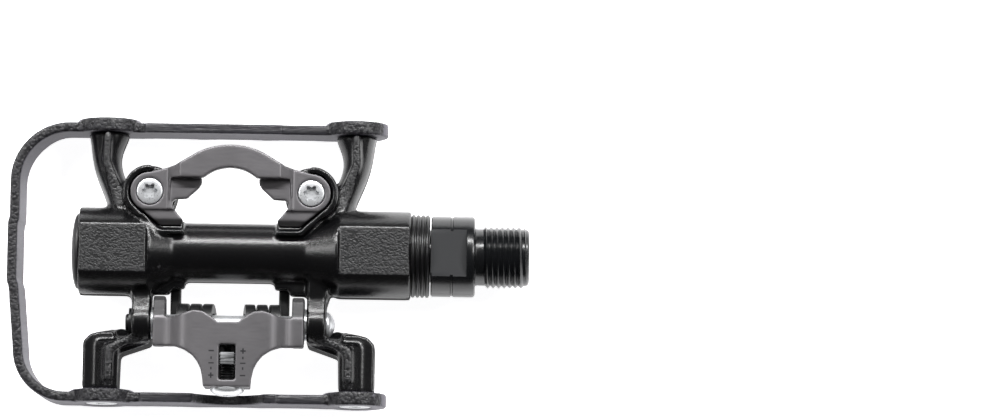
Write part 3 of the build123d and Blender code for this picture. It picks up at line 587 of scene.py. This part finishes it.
def makeBody():
    low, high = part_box("pedal_body")
    look = bodyLook
    length, edge = look["hubLength"], look["hubEdge"]
    outboard = low.x / mm
    inboard = mounts["wrench_flats"]["pos_m"][0] / mm - look["collar"]
    hubs = ((outboard + edge, outboard + look["flatLength"]), (inboard - length - edge, inboard - edge))

    def weight(points):
        # The hubs' flats keep crisp edges; everything else is rounded in full
        away = np.hypot(points[:, 1], points[:, 2]) / mm
        hubWall = (away > look["wallFrom"]) & (away < look["wallTo"])
        hubWall &= np.abs(points[:, 2]) > look["partingZ"] * mm
        outer = points[:, 0] < low.x + length * mm
        inner = points[:, 0] > (inboard - length - 2 * edge) * mm
        return np.where(hubWall & (outer | inner), look["crispRounds"], 1.0)

    mesh = remeshed("pedal_body", look["voxel"], look["rounds"], weight)

    def choose(middle, normal):
        if abs(normal.z) > 0.95 and abs(middle.z) > look["flatZ"] and abs(middle.y) < look["flatY"]:
            return int(any(start < middle.x < end for start, end in hubs))
        # Walls and undersides take the low-specular copy: painted shade
        if -0.35 < normal.z < 0.15:
            return 3
        # Up-facing rib tops take the lighter grain: painted highlight
        ribLow, ribHigh = look["ribZ"]
        onRib = ribLow < middle.z < ribHigh and (middle.y > look["ribFrontY"] or middle.y < look["ribRearY"])
        return 2 if onRib and normal.z > 0.8 else 0

    slotsByFace(mesh, [materials[name] for name in ("castBlack", "castGrain", "ribGrainHighlight", "castWallShaded")],
                choose)
    finish("bodyCasting", mesh, "pedal", ["pedal_body"], smoothAngle=0)


makeBody()
print("body made")


# Cage
cageLook = {"voxel": 0.34, "rounds": 4, "lean": 0.085, "leanFrom": -94, "leanOver": 10, "leanBelow": 2.7,
            "roughness": 0.11, "pitch": 1.1, "topDepth": 3.6, "topFade": 0.5, "strip": (-78.3, -37.0)}


def makeCage():
    mesh = remeshed("cage", cageLook["voxel"], cageLook["rounds"])
    low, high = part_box("cage")
    look = cageLook
    points = meshArrays(mesh)[0]
    near = np.clip((look["leanFrom"] * mm - points[:, 0]) / (look["leanOver"] * mm), 0, 1)
    near = near * near * (3 - 2 * near)  # 1 on the outer bar, which leans
    points[:, 0] += near * look["lean"] * (high.z - look["leanBelow"] * mm - points[:, 2]).clip(0)
    waveX, waveY = (points[:, :2] / (look["pitch"] * mm)).T
    ripple = np.sin(6.1 * waveX + 1.3 * np.sin(3.7 * waveY)) * np.sin(5.3 * waveY + 1.7 * np.sin(4.1 * waveX))
    onTop = np.clip((points[:, 2] - (high.z - look["topDepth"] * mm)) / (look["topFade"] * mm), 0, 1)
    points[:, 2] -= onTop * look["roughness"] * mm * (0.5 + 0.5 * ripple)
    mesh.vertices.foreach_set("co", points.ravel())
    mesh.update()

    stripStart, stripEnd = look["strip"]

    def choose(middle, normal):
        # Faces not turned up take the lighter side finish: painted reflection
        if normal.z < 0.55:
            return 0
        return 2 if middle.z > high.z / mm - 4 and stripStart < middle.x < stripEnd else 1

    slotsByFace(mesh, (materials["cageSideSheen"], materials["cageTread"], materials["cageGroove"]), choose)
    finish("cageBar", mesh, "pedal", ["cage"], smoothAngle=0)


makeCage()
print("cage made")


# Cleat plates
plateLook = {"voxel": 0.17, "heelVoxel": 0.187, "rounds": 9, "foldStart": 10.8, "foldEnd": 13.4,
             "foldDrop": 2.9,
             "foldSpread": 3.0, "foldZ": 4, "struckZ": 8, "cheekU": 13.7, "cheekZ": 5, "cheekY": -15.1}


def makePlates():
    toe = remeshed("front_cleat_plate", plateLook["voxel"], plateLook["rounds"])
    toe.materials.append(materials["gunmetal"])
    finish("toePlate", toe, "pedal", ["front_cleat_plate"], smoothAngle=0)
    heel = remeshed("rear_hook", plateLook["heelVoxel"], 0)
    points = meshArrays(heel)[0]
    across = np.abs(points[:, 0] - pivot.x) / mm
    folds = (plateLook["foldStart"], plateLook["foldEnd"])
    drops = (0.0, -plateLook["foldDrop"])
    shares = np.hanning(25)[1:-1]
    offsets = np.linspace(-1, 1, len(shares)) * plateLook["foldSpread"]
    sampled = [share * np.interp(across + offset, folds, drops) for share, offset in zip(shares, offsets)]
    eased = sum(sampled) / shares.sum()  # the wings' sharp bends, averaged over the spread
    upper = np.clip(points[:, 2] / mm - plateLook["foldZ"], 0, 1)
    points[:, 2] += upper * (eased - np.interp(across, folds, drops)) * mm
    heel.vertices.foreach_set("co", points.ravel())
    relax(heel, plateLook["rounds"])

    def choose(middle, normal):
        if normal.z > 0.9 and middle.z > plateLook["struckZ"]:
            return 1
        # Cheek faces low down or towards the pivot take the darker copy: painted shade
        onCheek = abs(middle.x - pivot.x / mm) > plateLook["cheekU"]
        return 2 if onCheek and (middle.z < plateLook["cheekZ"] or middle.y > plateLook["cheekY"]) else 0

    slotsByFace(heel, (materials["gunmetal"], materials["gunmetalStruck"], materials["cheekShade"]), choose)
    finish("heelHook", heel, "hook", ["rear_hook"], smoothAngle=0)


makePlates()
print("plates made")


# Screws and pins, each turned from its own stations
screwLook = {
    "plateHead": [(0, 0), (0, 3.0), (0.95, 3.0), (1.2, 2.85), (1.3, 2.6), (1.3, 1.62, "lobes"),
                  (1.2, 1.5, "lobes"), (0.35, 1.42, "lobes"), (0.3, 0.6), (0.3, 0)],
    "shank": [(0, 0), (0, 1.95), (-8.0, 1.95), (-8.4, 1.6), (-8.4, 0)],
    "cageHead": [(-1.7, 0), (-1.7, 1.22, "hex"), (-0.2, 1.25, "hex"), (-0.02, 1.4, "hex"), (-0.02, 3.35),
                 (-0.1, 3.6), (-0.35, 3.5), (-1.75, 2.0), (-9.2, 2.0), (-9.6, 1.6), (-9.6, 0)],
    "plateR": 3.0, "plateHigh": 1.35, "cageR": 3.65,
}


def makeScrews():
    low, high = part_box("front_plate_screws")
    headBase = high.z - screwLook["plateHigh"] * mm
    inset = screwLook["plateR"] * mm
    for x, label in ((low.x + inset, "Outboard"), (high.x - inset, "Inboard")):
        centre = Vector((x, (low.y + high.y) / 2, headBase))
        head = turned("plateScrew" + label, screwLook["plateHead"], centre, (0, 0, 1), 72)
        head.materials.append(materials["zinc"])
        finish("plateScrew" + label, head, "pedal", ["front_plate_screws"])
        shank = turned("plateShank" + label, screwLook["shank"], centre, (0, 0, 1), 48)
        shank.materials.append(materials["zinc"])
        finish("plateShank" + label, shank, "pedal")
    inset = screwLook["cageR"] * mm
    for node, out in (("cage_screws_front", 1), ("cage_screws_rear", -1)):
        low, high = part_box(node)
        faceY = high.y if out > 0 else low.y
        for x, label in ((low.x + inset, "Outboard"), (high.x - inset, "Inboard")):
            name = ("cageScrewFront" if out > 0 else "cageScrewRear") + label
            centre = Vector((x, faceY, (low.z + high.z) / 2))
            screw = turned(name, screwLook["cageHead"], centre, (0, out, 0), 72)
            screw.materials.append(materials["zinc"])
            finish(name, screw, "pedal", [node])


def makePivotPin():
    low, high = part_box("pivot_pin")
    start, end = low.x / mm, high.x / mm
    stations = [(start, 0), (start, 1.65), (start + 0.3, 1.98), (start + 0.75, 1.98), (start + 0.75, 1.5),
                (start + 1.4, 1.5), (start + 1.4, 1.98), (end - 2.1, 1.98), (end - 2.1, 2.85),
                (end - 1.95, 3.0), (end - 1.6, 2.98), (end - 1.1, 2.6), (end - 0.6, 1.9), (end - 0.2, 1.1),
                (end - 0.02, 0.4), (end, 0)]
    pin = turned("hookPin", stations, (0, pivot.y, pivot.z), (1, 0, 0), 64)

    # The pin's first 3 mm, its outboard tail with the clip groove, take the spring black instead of zinc: painted
    # shade
    def choose(middle, normal):
        return int(middle.x < start + 3)

    slotsByFace(pin, (materials["zinc"], materials["springBlack"]), choose)
    finish("hookPin", pin, "pedal", ["pivot_pin"])


tensionLook = {"firstCrest": 3.7, "pitch": 0.6, "crestR": 1.72, "rootR": 1.42}


def makeTensionScrew():
    look = tensionLook
    low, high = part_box("tension_screw")
    tip, back = high.y / mm, low.y / mm
    stations = [(back + 1.3, 0), (back + 1.3, 1.2, "hex"), (back + 0.2, 1.22, "hex"),
                (back + 0.03, 1.4, "hex"), (back, 1.75), (back + 0.1, 2.3), (back + 0.45, 3.1),
                (back + 0.85, 3.65), (back + 1.3, 3.88), (back + 1.7, 3.9), (back + 1.8, 3.8),
                (back + 1.8, 1.62), (back + 3.4, 1.62)]
    crest, slope = back + look["firstCrest"], look["pitch"] / 3
    while crest < tip - 0.5:
        stations += [(crest - slope, look["rootR"]), (crest, look["crestR"]),
                     (crest + slope, look["rootR"])]
        crest += look["pitch"]
    stations += [(tip - 0.1, 1.3), (tip, 0)]
    screw = turned("tensionScrew", stations, (tension.x, 0, tension.z), (0, 1, 0), 96)

    def choose(middle, normal):
        return int(middle.y > back + 1.9)

    slotsByFace(screw, (materials["zinc"], materials["springBlack"]), choose)
    finish("tensionScrew", screw, "screw", ["tension_screw"])


makeScrews()
makePivotPin()
makeTensionScrew()
print("screws made")


# Spindle: turned stations in mm from the thread's start, then a helical ridge for the thread
spindleLook = {"flat": 7.5, "flatStart": -12.5, "flatEnd": -4.1, "pitch": 1.27, "ridge": 0.64,
               "rootDepth": 0.62, "threadStart": -0.35, "runOut": 0.7, "fade": 1.0}


def makeSpindle():
    flat = spindleLook["flat"]
    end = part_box("spindle")[1].x / mm
    root = threadR / mm - spindleLook["rootDepth"]
    stations = [(-90.5, 0), (-90.5, 3.2), (-90.2, 3.48), (-86.2, 3.48), (-86.2, 3.98), (-82.2, 3.98),
                (-82.2, 4.6), (-32.8, 4.6), (-31.0, 5.98), (-12.4, 5.98), (-12.4, 8.9, flat),
                (-12.15, 9.2, flat), (-7.95, 9.24, flat), (-7.8, 9.02, flat), (-7.45, 9.02, flat),
                (-7.3, 9.24, flat), (-4.25, 9.24, flat), (-4.2, 9.24, 7.6), (-4.12, 9.24), (-2.95, 9.24),
                (-2.55, 9.05), (-2.32, 8.6), (-2.3, 8.2), (-2.3, 6.95), (-2.15, 6.6), (-1.8, 6.5),
                (-0.5, root), (end - 1.0, root), (end - 0.5, root - 0.1), (end - 0.15, root - 0.45),
                (end, root - 0.95), (end, 4.6), (end - 0.05, 4.3, "hex"), (end - 0.4, 4.02, "hex"),
                (end - 7.0, 4.0, "hex"), (end - 7.6, 2.5), (end - 8.0, 0)]
    core = turned("spindleShaft", stations, (0, 0, 0), (1, 0, 0), 192)

    def choose(middle, normal):
        onFlat = abs(normal.z) > 0.99 and abs(abs(middle.z) - flat) < 0.2
        return int(onFlat and spindleLook["flatStart"] < middle.x < spindleLook["flatEnd"])

    slotsByFace(core, (materials["oxideBlack"], materials["wrenchFlat"]), choose)
    finish("spindleShaft", core, "spindle", ["spindle"], smoothAngle=28)
    length = end - spindleLook["threadStart"] - spindleLook["runOut"]
    ridge = grown(helicalRidge, {
        "Turns": length / spindleLook["pitch"], "Length": length * mm,
        "Radius": threadR - spindleLook["ridge"] * mm, "Ridge": (spindleLook["ridge"] - 0.01) * mm,
        "Fade Start": (length - spindleLook["fade"]) * mm, "Material": materials["oxideBlack"]})
    ridge.transform(Matrix.Translation((spindleLook["threadStart"] * mm, 0, 0)) @ alongX)
    finish("spindleThread", ridge, "spindle", smoothAngle=30)


makeSpindle()
print("spindle made")


# Rubber boot and dust cap
bootLook = {"ribs": 4, "rib": 0.42, "boreR": 6.3, "gap": 0.02}


def makeBoot():
    low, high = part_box("boot_seal")
    start, end = low.x / mm, high.x / mm
    pitch = (end - start) / bootLook["ribs"]
    outer = high.z / mm - bootLook["rib"]
    bore, near = bootLook["boreR"], start + bootLook["gap"]
    stations = [(near, bore), (near, outer), (end, outer), (end, bore), (near, bore)]
    sleeve = turned("bootSleeve", stations, (0, 0, 0), (1, 0, 0), 96)
    sleeve.materials.append(materials["bootRubber"])
    finish("bootSleeve", sleeve, "pedal", ["boot_seal"])
    ribs = grown(ribRow, {"Count": bootLook["ribs"], "Pitch": pitch * mm, "Radius": outer * mm,
                          "Rib": bootLook["rib"] * mm, "Material": materials["bootRubber"]})
    ribs.transform(Matrix.Translation(((start + pitch / 2) * mm, 0, 0)) @ alongX)
    finish("bootRibs", ribs, "pedal", smoothAngle=60)


capLook = {"domeR": 8.6, "domeHigh": 1.4, "plugR": 7.5, "rows": 12}


def makeCap():
    look = capLook
    low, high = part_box("end_cap")
    tip, end = low.x / mm, high.x / mm
    stations = []
    for row in range(look["rows"]):
        turn = row / look["rows"] * math.pi / 2
        stations.append((tip + look["domeHigh"] * (1 - math.cos(turn)), look["domeR"] * math.sin(turn)))
    stations += [(tip + 1.45, look["domeR"]), (tip + 1.75, look["domeR"] - 0.02),
                 (tip + 1.78, look["plugR"]), (end, look["plugR"]), (end, 0)]
    cap = turned("dustCap", stations, (0, 0, 0), (1, 0, 0), 96)
    cap.materials.append(materials["capBlack"])
    finish("dustCap", cap, "pedal", ["end_cap"])


makeBoot()
makeCap()
print("boot and cap made")


# Torsion springs: nearly square wire along a leg, three turns and a second leg
springLook = {"wire": 1.15, "coilR": 3.4, "turns": 3, "pitch": 2.83, "legU": 12.4, "frontY": -7.3,
              "backY": -24.2,
              "power": 8, "broader": 1.06, "endRound": 0.35, "turnSteps": 32, "ringSteps": 32}


def makeSpring(label, node, side):
    look = springLook
    centreY, centreZ = pivot.y / mm, pivot.z / mm
    legX = pivot.x / mm + side * look["legU"]
    path = [(legX, look["frontY"], centreZ - look["coilR"]), (legX, centreY + 1.0, centreZ - look["coilR"])]
    for step in range(look["turns"] * look["turnSteps"] + 1):
        turn = 2 * math.pi * step / look["turnSteps"]
        x = legX - side * look["pitch"] * step / look["turnSteps"]
        path.append((x, centreY - look["coilR"] * math.sin(turn), centreZ - look["coilR"] * math.cos(turn)))
    innerX = path[-1][0]
    path += [(innerX, centreY - 1.0, centreZ - look["coilR"]),
             (innerX, look["backY"], centreZ - look["coilR"])]
    points = [Vector(place) * mm for place in path]
    steps = look["ringSteps"]
    last = len(points) - 1
    verts, faces = [], []
    sideways = Vector((side, 0, 0))
    for index, point in enumerate(points):
        ahead = (points[min(index + 1, last)] - points[max(index - 1, 0)]).normalized()
        normal = (sideways - ahead * sideways.dot(ahead)).normalized()
        across = ahead.cross(normal)
        scales = {0: (0.0, 0.7, 1.0), last: (1.0, 0.7, 0.0)}.get(index,
                                                                 (1.0,))  # both ends close in two steps
        for scale in scales:
            back = 0.0 if scale == 1.0 else look["endRound"] * mm
            middle = point + ahead * (-back if index == 0 else back)
            for step in range(steps):
                turn = 2 * math.pi * step / steps
                powers = math.cos(turn) ** look["power"] + math.sin(turn) ** look["power"]
                square = powers ** (-1 / look["power"])
                reach = look["wire"] * mm * scale * square
                wide = normal * reach * look["broader"] * math.cos(turn)
                verts.append(middle + wide + across * reach * math.sin(turn))
    rows = len(verts) // steps
    for row in range(rows - 1):
        for step in range(steps):
            a, b = row * steps + step, row * steps + (step + 1) % steps
            faces.append((a, b, b + steps, a + steps))
    mesh = fromPydata(label, verts, faces)
    mesh.materials.append(materials["springBlack"])
    piece = finish(label, mesh, None, [], smoothAngle=40)
    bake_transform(piece)
    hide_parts(node)


makeSpring("springOutboard", "torsion_spring_outboard", -1)
makeSpring("springInboard", "torsion_spring_inboard", 1)
print("springs made")


# Lip under the spring plate's slot, formed from the plate and turned down at its front
lipLook = {"half": 2.6, "inset": 0.12, "profile": (
    (-22.25, 3.1), (-21.7, 3.1), (-21.35, 2.98), (-21.1, 2.72), (-21.0, 2.4), (-21.0, 1.95), (-21.1, 1.85),
    (-21.5, 1.85), (-21.6, 1.95), (-21.62, 2.2), (-21.72, 2.38), (-21.9, 2.45), (-22.25, 2.45))}


def makeSpringPlateLip():
    profile = [Vector((0, y, z)) for y, z in lipLook["profile"]]
    middle = sum(profile, Vector()) / len(profile)
    half, inset = lipLook["half"], lipLook["inset"]
    rings = ((-half, 1 - inset), (-half + inset, 1), (half - inset, 1), (half, 1 - inset))
    verts = []
    for across, scale in rings:
        shift = Vector((tension.x / mm + across, 0, 0))
        verts += [(middle + (point - middle) * scale + shift) * mm for point in profile]
    count = len(profile)
    faces = [tuple(range(count)), tuple(reversed(range(3 * count, 4 * count)))]
    for ring in range(3):
        for index in range(count):
            near, far = ring * count + index, ring * count + (index + 1) % count
            faces.append((near, near + count, far + count, far))
    mesh = fromPydata("springPlateLip", verts, faces)
    mesh.materials.append(materials["springBlack"])
    finish("springPlateLip", mesh, "nut", smoothAngle=40)


makeSpringPlateLip()
print("lip made")


# CAD solids whose shape is already right keep it and get their own finish
kept = {
    "tension_nut": "nutSteel", "spring_plate": "springBlack", "pivot_clip": "springBlack",
    "pivot_washers": "zinc", "lip_seal": "bootRubber", "spindle_bush": "bronze",
    "bearing_outer_ring": "bearingSteel", "bearing_inner_ring": "bearingSteel",
    "bearing_balls": "bearingSteel", "ball_retainer": "bronze", "bearing_clip": "springBlack",
    "lock_washer": "zinc", "spindle_locknut": "zinc", "cap_o_ring": "bootRubber"}
for nodeName, finishName in kept.items():
    for slotItem in frame["nodes"][nodeName].material_slots:
        slotItem.material = materials[finishName]
print("kept solids coloured:", len(kept))


# Floor, lights and camera
studio = {"floorGap": 0.02, "floorSize": 6.0, "floorGlow": 1.0, "world": 0.05,
          "front": {"place": (-0.05, 0.91, 1.02), "size": (2.2, 0.11), "power": 44},
          "over": {"place": (-1.1, 0.3, 1.0), "size": (0.4, 0.4), "power": 5},
          "side": {"place": (1.0, 0.4, 1.15), "size": (0.4, 0.4), "power": 9}}


def makeFloor():
    size = studio["floorSize"]
    level = cadLow.z - studio["floorGap"] * mm
    corners = [(-size, -size, level), (size, -size, level), (size, size, level), (-size, size, level)]
    mesh = fromPydata("floor", corners, [(0, 1, 2, 3)])
    floor = bpy.data.objects.new("floor", mesh)
    scene.collection.objects.link(floor)
    paper = bpy.data.materials.new("paper")
    paper.use_nodes = True
    shader = paper.node_tree.nodes["Principled BSDF"]
    grain = shaderNode(paper.node_tree, "ShaderNodeTexNoise", {}, {"Scale": 300.0})
    tone = shaderNode(paper.node_tree, "ShaderNodeMix", {"Factor": grain.outputs[0]}, data_type="RGBA")
    tone.inputs["A"].default_value = (0.93, 0.93, 0.935, 1)
    tone.inputs["B"].default_value = (0.95, 0.95, 0.955, 1)
    paper.node_tree.links.new(tone.outputs["Result"], shader.inputs["Base Color"])
    shader.inputs["Roughness"].default_value = 0.9
    shader.inputs["Specular IOR Level"].default_value = 0.1
    paper.node_tree.links.new(tone.outputs["Result"], shader.inputs["Emission Color"])
    shader.inputs["Emission Strength"].default_value = studio["floorGlow"]
    mesh.materials.append(paper)


def makeLights():
    middle = (cadLow + cadHigh) / 2
    for name in ("front", "over", "side"):
        look = studio[name]
        light = bpy.data.lights.new(name + "Light", "AREA")
        light.shape = "RECTANGLE"
        light.size, light.size_y = look["size"]
        light.energy = look["power"]
        holder = bpy.data.objects.new(name + "Light", light)
        holder.location = look["place"]
        holder.rotation_euler = (middle - Vector(look["place"])).to_track_quat("-Z", "Y").to_euler()
        scene.collection.objects.link(holder)
    world = bpy.data.worlds.new("studio")
    world.use_nodes = True
    world.node_tree.nodes["Background"].inputs["Color"].default_value = (1, 1, 1, 1)
    world.node_tree.nodes["Background"].inputs["Strength"].default_value = studio["world"]
    scene.world = world


cameraLook = {"aim": (3.2, 11.3, 0.0), "elevation": 82.7, "distance": 1500.0, "field": 228.8, "roll": -0.85}


def makeCamera():
    camera = bpy.data.cameras.new("camera")
    camera.sensor_width = 36.0
    camera.lens = camera.sensor_width * cameraLook["distance"] / cameraLook["field"]
    camera.clip_start = 0.05
    holder = bpy.data.objects.new("camera", camera)
    tilt = math.radians(90 - cameraLook["elevation"])
    aim = Vector(cameraLook["aim"]) * mm
    back = Vector((0, -math.sin(tilt), math.cos(tilt)))
    holder.location = aim + back * cameraLook["distance"] * mm
    turn = Matrix.Rotation(tilt, 4, "X") @ Matrix.Rotation(-math.radians(cameraLook["roll"]), 4, "Z")
    holder.rotation_euler = turn.to_euler()
    scene.collection.objects.link(holder)
    scene.camera = holder


makeFloor()
makeLights()
makeCamera()
scene.view_settings.view_transform = "Standard"
print("studio made")
